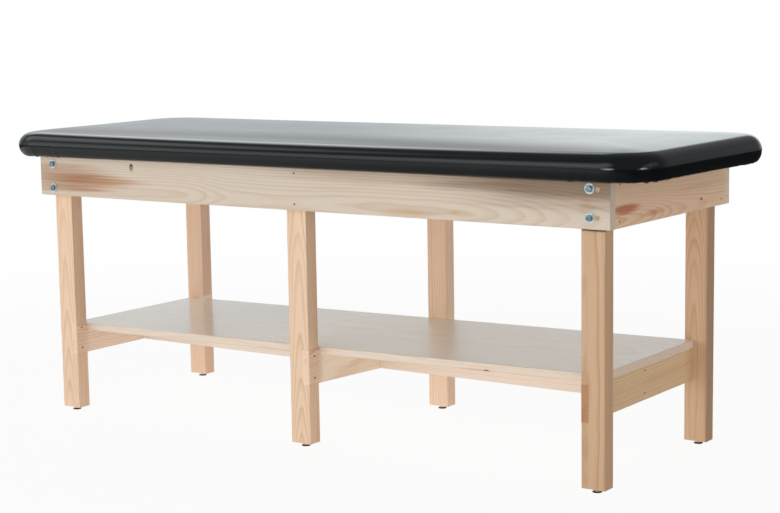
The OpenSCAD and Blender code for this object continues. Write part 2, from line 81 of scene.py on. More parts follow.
# %% [markdown]
# ## Node helpers
# Shader nodes can be placed by hand in the node editor. In code the same few kinds come again and
# again, so each gets a short helper that adds the node, links its inputs and gives back its output.

# %% Node helpers
def add(tree, kind, inputs=None, **settings):
    """Adds a node, and sets or links its inputs by name or number."""
    node = tree.nodes.new(kind)
    for name, value in settings.items():
        setattr(node, name, value)
    for name, value in (inputs or {}).items():
        if isinstance(value, bpy.types.NodeSocket):
            tree.links.new(value, node.inputs[name])
        else:
            node.inputs[name].default_value = value
    return node


def number(tree, operation, a, b=0.0, c=0.0):
    return add(tree, "ShaderNodeMath", {0: a, 1: b, 2: c}, operation=operation).outputs[0]


def vector(tree, operation, a, b=(0.0, 0.0, 0.0)):
    node = add(tree, "ShaderNodeVectorMath", {0: a, 1: b}, operation=operation)
    return node.outputs["Value" if operation in ("LENGTH", "DISTANCE", "DOT_PRODUCT") else "Vector"]


def remap(tree, value, given, wanted, smooth=False):
    """Maps a value from one pair of limits to another, in a straight line or with soft ends."""
    return add(tree, "ShaderNodeMapRange", {
        "Value": value, "From Min": given[0], "From Max": given[1], "To Min": wanted[0],
        "To Max": wanted[1]}, interpolation_type="SMOOTHSTEP" if smooth else "LINEAR").outputs[0]


def either(tree, share, a, b):
    return add(tree, "ShaderNodeMix", {0: share, 2: a, 3: b}).outputs[0]


def blend(tree, share, a, b, kind="MIX"):
    return add(tree, "ShaderNodeMix", {0: share, 6: a, 7: b}, data_type="RGBA",
               blend_type=kind).outputs[2]


def tint(code):
    """A linear colour from a hexadecimal paint code."""
    parts = [int(code[i:i + 2], 16) / 255 for i in (1, 3, 5)]
    return [c / 12.92 if c <= 0.04045 else ((c + 0.055) / 1.055) ** 2.4 for c in parts] + [1.0]


print("node helpers", [helper.__name__ for helper in (add, number, vector, remap, either, blend)])

# %% [markdown]
# ## Room
# Black vinyl shows what stands round it more than its own colour, so the world answers each kind of
# ray in its own way. It reads the kind of ray and its direction, and a soft round patch of light can
# then be laid in any direction.

# %% World and its patches of light
world = bpy.data.worlds.new("white room")
bpy.context.scene.world = world
world.use_nodes = True
tree = world.node_tree
tree.nodes.clear()
path = add(tree, "ShaderNodeLightPath")
mirrored = number(tree, "MAXIMUM", path.outputs["Is Glossy Ray"], path.outputs["Is Transmission Ray"])
outward = add(tree, "ShaderNodeTexCoord").outputs["Generated"]
axes = add(tree, "ShaderNodeSeparateXYZ", {0: outward}).outputs
side_way, height = axes[0], axes[2]


def soft_patch(direction, half_width, strength):
    """A round patch of light, brightest in one direction and gone at its half width in degrees."""
    facing = vector(tree, "DOT_PRODUCT", outward, Vector(direction).normalized())
    return remap(tree, facing, (math.cos(math.radians(half_width)), 1.0), (0.0, strength), smooth=True)


print("world nodes", len(tree.nodes))

# %% [markdown]
# Mirrored rays see a dim room with a pale backdrop behind the table, which turns the flat top silver,
# and soft round patches of light, which make the glow along the rolled edge and the highlights at its
# near corner. Each patch below is a direction, how many degrees it reaches to each side, and its
# strength.

# %% What mirrors see
dim_wall = 0.3
backdrop_turn = (-0.55, -0.35)
backdrop_tops = (0.42, 0.26)
backdrop_patches = [((-0.56, 0.82, 0.1), 62, 0.455), ((-0.32, 0.95, 0.1), 19, 0.48)]
light_patches = {
    "low left": ((-0.80, -0.56, 0.15), 30, 0.7),
    "low front left": ((-0.63, -0.75, 0.13), 24, 1.25),
    "high left": ((-0.76, -0.18, 0.62), 19, 1.9),
    "high back left": ((-0.63, 0.60, 0.49), 18, 1.9),
    "high front": ((-0.28, -0.84, 0.45), 24, 2.2),
    "front, left part": ((-0.26, -0.96, 0.0), 9, 6.0),
    "front, middle part": ((-0.12, -0.99, -0.01), 9, 12.0),
    "front, right part": ((0.02, -1.0, -0.02), 9, 12.0),
    "right": ((0.97, -0.25, 0.0), 10, 14.0),
    "above the right": ((0.93, 0.0, 0.30), 16, 0.9),
    "high back right": ((0.86, 0.28, 0.42), 17, 0.6),
}

backdrop = number(tree, "ADD", *[soft_patch(*patch) for patch in backdrop_patches])
over = number(tree, "SUBTRACT", height, remap(tree, side_way, backdrop_turn, backdrop_tops))
backdrop_edge = remap(tree, over, (-0.08, 0.06), (1.0, 0.0), smooth=True)
room = number(tree, "MULTIPLY_ADD", backdrop, backdrop_edge, dim_wall)
for patch in light_patches.values():
    room = number(tree, "ADD", soft_patch(*patch), room)
print("patches of light:", "; ".join(light_patches))

# %% [markdown]
# Diffuse rays get an even fill, weaker overhead and stronger from the front left, which keeps the
# front faces lighter than the end faces. The camera sees plain white.

# %% What lights the table
fill_low, fill_high = 0.85, 0.3
fill_behind, fill_front = 1.03, 1.21
front_left = (-0.85, -0.5, 0.0)
turned = vector(tree, "DOT_PRODUCT", outward, front_left)
fill = number(tree, "MULTIPLY", remap(tree, height, (0.0, 0.8), (fill_low, fill_high)),
              remap(tree, turned, (-1.0, 1.0), (fill_behind, fill_front)))
seen = either(tree, path.outputs["Is Camera Ray"], either(tree, mirrored, fill, room), 1.0)
cool = blend(tree, mirrored, (1, 1, 1, 1), tint("#f6fcff"))
sky = add(tree, "ShaderNodeBackground", {"Color": cool, "Strength": seen})
add(tree, "ShaderNodeOutputWorld", {"Surface": sky.outputs[0]})
print("world nodes", len(tree.nodes))

# %% [markdown]
# ## Floor
# The floor is matt white paper that is mixed with plain glow. Near the table the camera still sees a
# little of the paper, so the legs keep their faint shadows, and further out it sees only the glow,
# which melts into the backdrop. Diffuse rays find about half of it glowing, which lights the frame
# from below, and mirrored rays see it bright only at the front left.

# %% Floor
floor_bounce = 0.55
floor_glow = 1.35
glow_near, glow_far = (1.6, 0.93), (4.0, 1.0)
gleam_middle = (-3.0, -3.5, 0.0)
gleam_far, gleam_near = (6.0, 0.03), (1.5, 1.05)


def deselect():
    if bpy.context.object and bpy.context.object.mode != "OBJECT":
        bpy.ops.object.mode_set(mode="OBJECT")
    bpy.ops.object.select_all(action="DESELECT")


def empty_material(name):
    finish = bpy.data.materials.new(name)
    finish.use_nodes = True
    finish.node_tree.nodes.clear()
    return finish, finish.node_tree


deselect()
bpy.ops.mesh.primitive_plane_add(size=40, location=(0, 0, 0))
floor = bpy.context.object
floor.name = "studio_floor"
paper, tree = empty_material("pale paper")
path = add(tree, "ShaderNodeLightPath")
spot = add(tree, "ShaderNodeTexCoord").outputs["Object"]
fade = remap(tree, vector(tree, "LENGTH", spot), (glow_near[0], glow_far[0]), (glow_near[1], glow_far[1]))
bounced = number(tree, "MULTIPLY", path.outputs["Is Diffuse Ray"], floor_bounce)
share = number(tree, "MULTIPLY_ADD", path.outputs["Is Camera Ray"], fade, bounced)
share = number(tree, "MAXIMUM", share, path.outputs["Is Glossy Ray"])
gleam = remap(tree, vector(tree, "DISTANCE", spot, gleam_middle), (gleam_far[0], gleam_near[0]),
              (gleam_far[1], gleam_near[1]), smooth=True)
bright = either(tree, path.outputs["Is Glossy Ray"], floor_glow, gleam)
bright = either(tree, path.outputs["Is Camera Ray"], bright, 1.0)
matt = add(tree, "ShaderNodeBsdfDiffuse", {"Color": tint("#f4f3f1")})
glow = add(tree, "ShaderNodeEmission", {"Color": (1, 1, 1, 1), "Strength": bright})
both = add(tree, "ShaderNodeMixShader", {0: share, 1: matt.outputs[0], 2: glow.outputs[0]})
add(tree, "ShaderNodeOutputMaterial", {"Surface": both.outputs[0]})
floor.data.materials.append(paper)
print("floor nodes", len(tree.nodes))

# %% [markdown]
# ## Lamps
# Three soft boxes shape the rest: a large one in front, a low strip for the feet and a small one over
# the left end. The patches of the room already stand for their reflections, so mirrors don't see the
# lamps themselves.

# %% Lamps
def soft_box(name, place, target, width, height, watts):
    """A rectangular lamp that faces a target, and that neither the camera nor a mirror sees."""
    bpy.ops.object.light_add(type="AREA", location=place)
    lamp = bpy.context.object
    lamp.name = name
    lamp.rotation_euler = (Vector(target) - Vector(place)).to_track_quat("-Z", "Y").to_euler()
    lamp.data.shape = "RECTANGLE"
    lamp.data.size = width
    lamp.data.size_y = height
    lamp.data.energy = watts
    lamp.visible_camera = False
    lamp.visible_glossy = False


soft_box("front lamp", (-1.4, -3.6, 1.3), (0, 0, 0.45), 4.8, 2.2, 30)
soft_box("low lamp", (0.2, -3.2, 0.3), (0, 0, 0.25), 5.0, 0.5, 12)
soft_box("top lamp", (-2.6, 0.4, 2.9), (-0.6, -0.3, 0.75), 1.6, 0.5, 9)

# %% [markdown]
# ## Sawn pine
# A group of nodes is built once and then placed in each finish with its own values. Most of the groups
# here read noise, and for wood the noise is drawn out along the board.

# %% Helpers for groups and noise
FLOAT, VECTOR = "NodeSocketFloat", "NodeSocketVector"


def new_group(name, inputs, outputs):
    """A shader node group with named sockets, and its two end nodes."""
    group = bpy.data.node_groups.new(name, "ShaderNodeTree")
    for label, kind, value in inputs:
        socket = group.interface.new_socket(label, in_out="INPUT", socket_type=kind)
        if value is not None:
            socket.default_value = value
    for label, kind in outputs:
        group.interface.new_socket(label, in_out="OUTPUT", socket_type=kind)
    return group, group.nodes.new("NodeGroupInput"), group.nodes.new("NodeGroupOutput")


def scaled(tree, place, factor):
    return add(tree, "ShaderNodeVectorMath", {0: place, "Scale": factor}, operation="SCALE").outputs[0]


def texture(tree, coordinates, scale, detail, roughness=0.5):
    return add(tree, "ShaderNodeTexNoise", {"Vector": coordinates, "Scale": scale, "Detail": detail,
                                            "Roughness": roughness})


def long_texture(tree, board, amounts, detail, roughness=0.5):
    """Noise whose spots are drawn out along the board, by how much each axis is multiplied."""
    return texture(tree, vector(tree, "MULTIPLY", board, amounts), 1.0, detail, roughness)


print("group helpers", [helper.__name__ for helper in (new_group, scaled, texture, long_texture)])

# %% [markdown]
# A board is a slice through a trunk, so its lines are the growth rings cut at a slant. Lines could be
# drawn with a wave texture, but rings measured from a wandering pith give arches on a flat-sawn face,
# straight lines on an edge and arcs on an end, all from one pattern that meets at the corners.

# %% Group of pine grain
waviness = 0.35
grain, ins, outs = new_group(
    "sawn grain",
    [("Board", VECTOR, None), ("Pith", VECTOR, None), ("Ring Width", FLOAT, 0.004), ("Wander", FLOAT, 0.012)],
    [("Rings", FLOAT), ("Streaks", FLOAT), ("Fibres", FLOAT), ("Height", FLOAT)])
board = ins.outputs["Board"]
slow = long_texture(grain, board, (1.3, 0.6, 0.6), 4.0)
drift = vector(grain, "ADD", slow.outputs["Color"], (-0.5, -0.5, -0.5))
drift = scaled(grain, drift, ins.outputs["Wander"])
place = vector(grain, "SUBTRACT", vector(grain, "ADD", board, drift), ins.outputs["Pith"])
radius = vector(grain, "LENGTH", vector(grain, "MULTIPLY", place, (0.0, 1.0, 1.0)))
ripple = long_texture(grain, board, (7.0, 60.0, 60.0), 3.0).outputs["Fac"]
ripple = number(grain, "MULTIPLY", number(grain, "SUBTRACT", ripple, 0.5), waviness)
count = number(grain, "ADD", number(grain, "DIVIDE", radius, ins.outputs["Ring Width"]), ripple)
late = add(grain, "ShaderNodeValToRGB", {"Fac": number(grain, "FRACT", count)})
late.color_ramp.elements[0].position = 0.42
late.color_ramp.elements[0].color = (0, 0, 0, 1)
late.color_ramp.elements[1].position = 0.9
late.color_ramp.elements[1].color = (1, 1, 1, 1)
ring_end = late.color_ramp.elements.new(0.99)
ring_end.color = (0.05, 0.05, 0.05, 1)
year = add(grain, "ShaderNodeTexWhiteNoise", {"W": number(grain, "FLOOR", count)}, noise_dimensions="1D")
rings = number(grain, "MULTIPLY", late.outputs["Color"],
               remap(grain, year.outputs["Value"], (0.0, 1.0), (0.45, 1.0)))
streaks = long_texture(grain, board, (1.6, 52.0, 52.0), 4.0, 0.6).outputs["Fac"]
fibres = long_texture(grain, board, (24.0, 900.0, 900.0), 2.0).outputs["Fac"]
relief = number(grain, "ADD", number(grain, "MULTIPLY", rings, 0.5), number(grain, "MULTIPLY", fibres, 0.5))
for label, value in (("Rings", rings), ("Streaks", streaks), ("Fibres", fibres), ("Height", relief)):
    grain.links.new(value, outs.inputs[label])
print("grain group nodes", len(grain.nodes))

# %% [markdown]
# Real boards also have heart streaks, knots and reddish patches. Each is a soft ellipse whose edge is
# frayed by the grain's own streaks, so a second small group gives its mask from a centre and a reach.
# The same mask also lays painted shade on a few boards.

# %% Group of marks: stains and painted shade
mark, ins, outs = new_group(
    "stain and shade mark",
    [("Place", VECTOR, None), ("Centre", VECTOR, None), ("Reach", VECTOR, None), ("Streaks", FLOAT, 0.5),
     ("Frayed", FLOAT, 1.6)],
    [("Mask", FLOAT)])
offset = vector(mark, "SUBTRACT", ins.outputs["Place"], ins.outputs["Centre"])
away = vector(mark, "LENGTH", vector(mark, "DIVIDE", offset, ins.outputs["Reach"]))
fray = number(mark, "MULTIPLY", number(mark, "SUBTRACT", ins.outputs["Streaks"], 0.5), ins.outputs["Frayed"])
inside = remap(mark, number(mark, "ADD", away, fray), (1.05, 0.3), (0.0, 1.0), smooth=True)
mark.links.new(inside, outs.inputs["Mask"])
print("mark group nodes", len(mark.nodes))

# %% [markdown]
# Arches show where the pith comes close behind a board's face and dives away again. A curve along the
# board says how deep it lies.

# %% Depth of the pith along a board
curve_unit = 0.1


def depth_curve(tree, board, half, points):
    """How deep the pith lies behind the board's middle, from points of place along it and depth."""
    along = add(tree, "ShaderNodeSeparateXYZ", {0: board}).outputs[0]
    curve = add(tree, "ShaderNodeFloatCurve", {"Value": remap(tree, along, (-half, half), (0.0, 1.0))})
    line = curve.mapping.curves[0]
    spots = [((x + half) / (2 * half), depth / curve_unit) for x, depth in points]
    line.points[0].location = spots[0]
    line.points[1].location = spots[-1]
    for spot in spots[1:-1]:
        line.points.new(*spot)
    curve.mapping.update()
    return number(tree, "MULTIPLY", curve.outputs[0], curve_unit)


print("unit of the depth curves", curve_unit)

# %% [markdown]
# Every board gets the same group with its own place in the trunk, so that no two boards match. The
# Mapping node turns the world's axes to the board's own, with X along its grain. A varnished board has
# a thin clear coat over the wood, which is set on the shader itself.

# %% Pine finish for each board
streak_from = 0.52


def wood(name, centre, along, pith, ring, wander, pale, late_tint, streak_tint, ring_mix=0.75,
         streak_mix=0.5, rough=0.42, coat=0.12, coat_rough=0.25, depth=None, marks=(), worn=None,
         relief_strength=0.25, ior=1.45):
    """A sawn board's finish. Each mark is a centre, a reach, a colour (stained spot or painted shade), its
    amount and how frayed it is.
    """
    finish, tree = empty_material(name)
    turn = {"X": (0, 0, 0), "Y": (0, 0, math.pi / 2), "Z": (0, -math.pi / 2, 0)}[along]
    where = add(tree, "ShaderNodeTexCoord").outputs["Object"]
    board = add(tree, "ShaderNodeMapping", {"Vector": where, "Location": centre, "Rotation": turn},
                vector_type="TEXTURE").outputs[0]
    cut = add(tree, "ShaderNodeGroup", node_tree=grain)
    tree.links.new(board, cut.inputs["Board"])
    cut.inputs["Pith"].default_value = pith
    if depth:
        heart = add(tree, "ShaderNodeCombineXYZ", {0: 0.0, 1: depth_curve(tree, board, *depth), 2: pith[2]})
        tree.links.new(heart.outputs[0], cut.inputs["Pith"])
    cut.inputs["Ring Width"].default_value = ring
    cut.inputs["Wander"].default_value = wander
    part = number(tree, "MULTIPLY", cut.outputs["Rings"], ring_mix)
    colour = blend(tree, part, tint(pale), tint(late_tint))
    part = remap(tree, cut.outputs["Streaks"], (streak_from, streak_from + 0.2), (0.0, streak_mix))
    colour = blend(tree, part, colour, tint(streak_tint))
    for spot, reach, stain_and_shade, amount, frayed in marks:
        patch = add(tree, "ShaderNodeGroup", node_tree=mark)
        tree.links.new(where, patch.inputs["Place"])
        tree.links.new(cut.outputs["Streaks"], patch.inputs["Streaks"])
        patch.inputs["Centre"].default_value = spot
        patch.inputs["Reach"].default_value = reach
        patch.inputs["Frayed"].default_value = frayed
        part = number(tree, "MULTIPLY", patch.outputs["Mask"], amount)
        colour = blend(tree, part, colour, tint(stain_and_shade), "MULTIPLY")
    colour = scaled(tree, colour, remap(tree, cut.outputs["Fibres"], (0.0, 1.0), (0.93, 1.07)))
    gloss = remap(tree, cut.outputs["Fibres"], (0.0, 1.0), (rough - 0.06, rough + 0.08))
    if worn:
        along_x = add(tree, "ShaderNodeSeparateXYZ", {0: where}).outputs[0]
        gloss = number(tree, "ADD", gloss, remap(tree, along_x, worn[:2], (0.0, worn[2]), smooth=True))
    bump = add(tree, "ShaderNodeBump", {"Height": cut.outputs["Height"], "Strength": relief_strength,
                                        "Distance": 0.0004})
    skin = add(tree, "ShaderNodeBsdfPrincipled", {
        "Base Color": colour, "Roughness": gloss, "Normal": bump.outputs[0],
        "Coat Weight": coat, "Coat Roughness": coat_rough, "IOR": ior})
    add(tree, "ShaderNodeOutputMaterial", {"Surface": skin.outputs[0]})
    return finish


print("streaks start at", streak_from)

# %% [markdown]
# The solids come ready made, so a finish goes into a solid's own material slots, and its mesh stays as
# it is. The finish also needs the middle of the board, which the pattern starts from.

# %% Dress a solid
def dress(node, finish):
    """Gives a ready-made solid a finish, without a change to its mesh."""
    for slot in nodes[node].material_slots:
        slot.material = finish


def middle_of(node):
    low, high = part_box(node)
    return [(a + b) / 2 for a, b in zip(low, high)]


print("solids to dress", len(nodes))

# %% [markdown]
# The front apron shows the most pattern in its grain: a heart streak at its left end, one arch left of
# the middle, a nest of arches towards the right and a brown band along its top, which is partly stained
# wood and partly painted shadow of the padded top above it. An arch closes where the pith dives away
# from the face, so the points of each depth curve put the arches where they belong. The marks on the
# other boards are knots, stains and the tone of end faces, and two are painted shade: a painted shadow
# line under the front apron on the front right leg, and painted shade on the right-hand face of the back
# right leg.

# %% Figure and painted shade of the boards that show most
figure_and_shade = {
    "side_apron_front": dict(
        depth=(0.9, [(-0.9, 0.017), (-0.62, 0.019), (-0.36, 0.022), (-0.2, 0.036), (0.0, 0.037), (0.3, 0.03),
                     (0.46, 0.031), (0.84, 0.06), (0.9, 0.064)]),
        marks=[((-0.84, -0.318, 0.672), (0.26, 0.05, 0.046), "#e2cfc1", 1.0, 1.8),
               ((-0.70, -0.318, 0.658), (0.20, 0.05, 0.022), "#e0bea4", 1.0, 2.2),
               # These two marks darken the top of the apron, more towards the right: partly stained wood and
               # partly painted shadow of the padded top.
               ((0.81, -0.318, 0.727), (0.50, 0.003, 0.088), "#a69583", 1.0, 0.9),
               ((0.30, -0.318, 0.715), (0.45, 0.05, 0.030), "#d6cabd", 0.6, 1.6),
               ((0.35, -0.318, 0.629), (0.10, 0.05, 0.012), "#f0dabf", 0.6, 1.8),
               ((0.50, -0.318, 0.634), (0.045, 0.05, 0.012), "#efd6b8", 0.6, 1.6),
               ((0.834, -0.318, 0.668), (0.03, 0.05, 0.03), "#f0dcc5", 0.5, 1.4)]),
    "end_apron_right": dict(
        depth=(0.3, [(-0.3, 0.014), (-0.1, 0.024), (0.03, 0.034), (0.3, 0.038)]),
        marks=[((0.892, -0.25, 0.656), (0.05, 0.085, 0.016), "#cf9678", 0.9, 2.0),
               ((0.892, 0.155, 0.6425), (0.02, 0.010, 0.0045), "#8a6448", 0.9, 0.8),
               ((0.892, -0.1, 0.636), (0.02, 0.07, 0.010), "#dfb194", 0.6, 2.0)]),
    "cross_rail_left": dict(
        marks=[((-0.81, -0.27, 0.21), (0.06, 0.035, 0.25), "#f7ede5", 1.0, 0.4)]),
    "cross_rail_middle": dict(
        marks=[((0.02, -0.27, 0.21), (0.06, 0.035, 0.25), "#eedfd6", 1.0, 0.4),
               ((0.055, -0.262, 0.249), (0.03, 0.035, 0.008), "#b5653f", 0.9, 1.2)]),
    "cross_rail_right": dict(
        marks=[((0.8145, -0.292, 0.21), (0.06, 0.012, 0.25), "#d2b7a2", 1.0, 0.6)]),
    "leg_front_left": dict(
        depth=(0.36, [(-0.36, 0.014), (-0.1, 0.026), (0.1, 0.031), (0.36, 0.036)])),
    "leg_front_middle": dict(
        depth=(0.36, [(-0.36, 0.012), (-0.15, 0.024), (0.1, 0.030), (0.2, 0.034), (0.36, 0.036)])),
    "leg_front_right": dict(
        # A painted shadow: a thin dark line across the top of the leg, where the front apron's lower edge
        # shades it.
        marks=[((0.840, -0.292, 0.6120), (0.07, 0.012, 0.0055), "#57463a", 0.95, 0.1)]),
    "leg_back_right": dict(
        depth=(0.36, [(-0.36, 0.020), (0.05, 0.022), (0.22, 0.030), (0.36, 0.036)]),
        # Painted shade: the leg's right-hand face is darkened, because light falls off towards the right end.
        marks=[((0.871, 0.2715, 0.37), (0.014, 0.09, 1.2), "#d6d2d0", 1.0, 0.4)]),
}
print("boards with figure of their own", len(figure_and_shade))

# %% [markdown]
# Each row below is a board: the way its grain runs, where the pith lies, the width of a ring, how far
# the pith wanders, and its three colours for early wood, late wood and streaks. The right-hand legs are
# darker than the others, partly in their own tone and partly as painted shade for light that falls off
# towards the right end.

# %% Boards
boards = {
    "side_apron_front": ("X", (0, 0.035, -0.035), 0.0058, 0.02, "#d0c1b0", "#bea78b", "#c7ac90"),
    "side_apron_back": ("X", (0, 0.05, 0.09), 0.007, 0.05, "#e4d0b8", "#cdb08c", "#d6b493"),
    "end_apron_left": ("Y", (0, 0.05, 0.07), 0.006, 0.03, "#e9d0ae", "#cfa577", "#d2a078"),
    "end_apron_right": ("Y", (0, -0.05, -0.04), 0.004, 0.02, "#eac6a6", "#d09f73", "#d29772"),
    "leg_front_left": ("Z", (0, 0.03, 0.004), 0.0042, 0.014, "#e7c7aa", "#d1a47d", "#d7a885"),
    "leg_front_middle": ("Z", (0, 0.03, -0.004), 0.0042, 0.014, "#e4c6a9", "#cb9e75", "#d1a37f"),
    "leg_front_right": ("Z", (0, 0.16, 0.02), 0.0036, 0.01, "#c9a785", "#af8156", "#b68961"),
    "leg_back_left": ("Z", (0, 0.06, 0.09), 0.0044, 0.014, "#e9c7ac", "#cfa178", "#d6a785"),
    "leg_back_middle": ("Z", (0, 0.08, 0.07), 0.0044, 0.016, "#f5d7bd", "#deac83", "#e5b390"),
    "leg_back_right": ("Z", (0, 0.03, 0.006), 0.0034, 0.012, "#d5b18f", "#bd8b61", "#c3916d"),
    "cross_rail_left": ("Y", (0, 0.06, 0.05), 0.005, 0.03, "#f3d9c3", "#daae8a", "#deb091"),
    "cross_rail_middle": ("Y", (0, 0.05, 0.04), 0.0045, 0.03, "#f5e1cb", "#d8b28a", "#d8a58a"),
    "cross_rail_right": ("Y", (0, 0.04, 0.07), 0.0055, 0.04, "#dcbc94", "#c39467", "#c9966c"),
    "stretcher_left": ("X", (0, 0.06, 0.05), 0.005, 0.03, "#efdfd1", "#d6b493", "#dbbaa0"),
    "stretcher_right": ("X", (0, 0.04, 0.06), 0.005, 0.03, "#eddaca", "#d4b190", "#d8b59b"),
}
for corner, pith in (("front_left", (0, 0.05, 0.05)), ("front_right", (0, 0.06, 0.04)),
                     ("back_left", (0, 0.04, 0.06)), ("back_right", (0, 0.05, 0.04))):
    boards["cleat_" + corner] = ("X", pith, 0.004, 0.02, "#e2c8a4", "#cba273", "#cfa77f")
for node, grown in boards.items():
    dress(node, wood(node.replace("_", " "), middle_of(node), *grown, **figure_and_shade.get(node, {})))
print("boards", len(boards))

# %% [markdown]
# ## Shelf and deck
# The shelf is one wide pale board with a smooth varnish. It lies almost edge on to the camera, where
# the varnish mirrors the leg behind it at the left, and is worn duller towards the right. The marks
# are the browner end face, a knot and a reddish patch in its front edge, and that edge's own tone.
# The deck is raw plywood that only shows from below.

# %% Shelf and deck finishes
dress("shelf_board", wood(
    "varnished shelf", middle_of("shelf_board"), "X", (0, 0.02, -0.35), 0.012, 0.12, "#f7f2ea", "#e8ddcc",
    "#eee3d4", ring_mix=0.5, streak_mix=0.35, rough=0.12, coat=0.25, coat_rough=0.35,
    worn=(-0.45, 0.0, 0.2), relief_strength=0.05, ior=1.55,
    marks=[((0.8302, 0.0, 0.25), (0.003, 0.6, 0.25), "#e9d7cb", 1.0, 0.2),
           ((0.524, -0.2505, 0.2490), (0.011, 0.03, 0.0045), "#8a5f45", 0.95, 0.8),
           ((0.50, -0.2505, 0.2475), (0.09, 0.03, 0.004), "#dcae94", 0.7, 1.8),
           ((0.0, -0.2505, 0.249), (3.0, 0.003, 0.1), "#e9dccf", 1.0, 0.0)]))
dress("deck_board", wood(
    "raw plywood", middle_of("deck_board"), "X", (0, 0.3, 0.02), 0.004, 0.2, "#d9c09a", "#bf9d6d", "#c6a677",
    rough=0.7, coat=0.0))
print("shelf and deck dressed")

# %% [markdown]
# ## Plated and bare hardware
# Zinc plate is a bright, slightly blue metal with a cloudy surface, and nails are darker. One group
# makes the clouds, and each finish uses them with its own two colours, how metallic it is, how rough
# it is and how fine its clouds are.

# %% Metal and plastic finishes
cloud, ins, outs = new_group("cloudy plate", [("Scale", FLOAT, 180.0)], [("Tone", FLOAT), ("Fine", FLOAT)])
where = add(cloud, "ShaderNodeTexCoord").outputs["Object"]
cloud.links.new(texture(cloud, where, ins.outputs["Scale"], 4.0).outputs["Fac"], outs.inputs["Tone"])
cloud.links.new(texture(cloud, where, 2600.0, 1.0).outputs["Fac"], outs.inputs["Fine"])


def hardware(name, light, dark, metallic, rough, scale):
    finish, tree = empty_material(name)
    plate = add(tree, "ShaderNodeGroup", node_tree=cloud)
    plate.inputs["Scale"].default_value = scale
    spread = remap(tree, plate.outputs["Tone"], (0.35, 0.65), (0.0, 1.0))
    gloss = remap(tree, plate.outputs["Tone"], (0.0, 1.0), (rough - 0.08, rough + 0.1))
    bump = add(tree, "ShaderNodeBump", {"Height": plate.outputs["Fine"], "Strength": 0.3, "Distance": 0.0001})
    skin = add(tree, "ShaderNodeBsdfPrincipled", {
        "Base Color": blend(tree, spread, tint(dark), tint(light)), "Metallic": metallic,
        "Roughness": gloss, "Normal": bump.outputs[0]})
    add(tree, "ShaderNodeOutputMaterial", {"Surface": skin.outputs[0]})
    return finish


glides = [node for node in nodes if node.startswith("glide_")]
stems = [node for node in nodes if node.startswith("stem_")]
hardware_rows = [
    (["leg_bolts", "leg_nuts", "tee_nuts", "cover_staples"], "zinc plate", "#8fa9b0", "#4f6a74", 0.6, 0.3,
     180.0),
    # The washers are pale zinc, and part of their light colour is painted sheen that stands in for their
    # highlights.
    (["bolt_washers"], "worn washer", "#d3dad8", "#a9b3b2", 0.4, 0.42, 180.0),
    (stems, "pale collar", "#ddd6ca", "#c4bbad", 0.2, 0.45, 180.0),
    (["rail_nails", "stretcher_nails", "middle_leg_nails", "end_apron_nails"], "darkened nail", "#4a3a2e",
     "#241a14", 0.5, 0.5, 400.0),
    (["cleat_screws", "deck_screws", "pocket_screw"], "dull screw", "#8f897c", "#5f5a50", 0.9, 0.42, 300.0),
    (glides, "brown glide", "#5a4636", "#42342a", 0.0, 0.5, 300.0),
    (["hole_plugs"], "wood filler", "#bda586", "#a38a6b", 0.0, 0.75, 250.0),
]
for dressed_nodes, *look in hardware_rows:
    finish = hardware(*look)
    for node in dressed_nodes:
        dress(node, finish)
print("hardware dressed", sum(len(row[0]) for row in hardware_rows))

# %% [markdown]
# ## Padded top
# The top is vinyl pulled tight over foam and stapled under a plywood deck. It starts as a box whose
# corners, lower edge and upper edge are bevelled. By hand those edges are picked with the mouse, and in
# code each is known by its place.

# %% Pick and round edges
def select_edges(piece, test):
    """Selects, in edit mode, only the edges of a piece that pass a test."""
    bpy.context.view_layer.objects.active = piece
    if piece.mode != "EDIT":
        bpy.ops.object.mode_set(mode="EDIT")
    bpy.ops.mesh.select_mode(type="EDGE")
    bpy.ops.mesh.select_all(action="DESELECT")
    mesh = bmesh.from_edit_mesh(piece.data)
    chosen = [edge for edge in mesh.edges if test(edge)]
    for edge in chosen:
        edge.select_set(True)
    bmesh.update_edit_mesh(piece.data)
    return len(chosen)


def upright_edge(edge):
    a, b = (v.co for v in edge.verts)
    return abs(a.z - b.z) > 0.01 and (a - b).xy.length < 0.001


def level_edge_at(z):
    return lambda edge: all(abs(v.co.z - z) < 0.0005 for v in edge.verts)


def rounded_block(name, length, width, low_z, high_z, corner):
    """A flat block with rounded upright corners, left in edit mode, and how many it rounded."""
    deselect()
    bpy.ops.mesh.primitive_cube_add(size=1, location=(0, 0, (low_z + high_z) / 2))
    block = bpy.context.object
    block.name = name
    block.scale = (length, width, high_z - low_z)
    bpy.ops.object.transform_apply(location=True, rotation=False, scale=True)
    rounded = select_edges(block, upright_edge)
    bpy.ops.mesh.bevel(offset=corner, segments=12, affect="EDGES")
    return block, rounded


print("edge helpers", [helper.__name__ for helper in (select_edges, rounded_block)])

# %% [markdown]
# The sizes come from the box of the cover's solid, and the start is a little smaller than that, because
# the cloth swells.

# %% Shape of the padded top
pad_low, pad_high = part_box("vinyl_cover")
pad_l = pad_high[0] - pad_low[0]
pad_w = pad_high[1] - pad_low[1]
under_z = pad_low[2]
bulge_z = under_z + 0.028
crown = 0.004
top_z = pad_high[2] - crown
corner_r = 0.115
start_in = 0.0022
start_under = 0.0215
lower_round, upper_round = 0.0205, 0.035

start_low = bulge_z - start_under
start_high = top_z - start_in
pad, corners = rounded_block("padded_top", pad_l - 2 * start_in, pad_w - 2 * start_in, start_low, start_high,
                             corner_r - start_in)
rim_below = select_edges(pad, level_edge_at(start_low))
bpy.ops.mesh.bevel(offset=lower_round, segments=5, affect="EDGES")
rim_above = select_edges(pad, level_edge_at(start_high))
bpy.ops.mesh.bevel(offset=upper_round, segments=8, affect="EDGES")
print("pad edges rounded", corners, rim_below, rim_above)

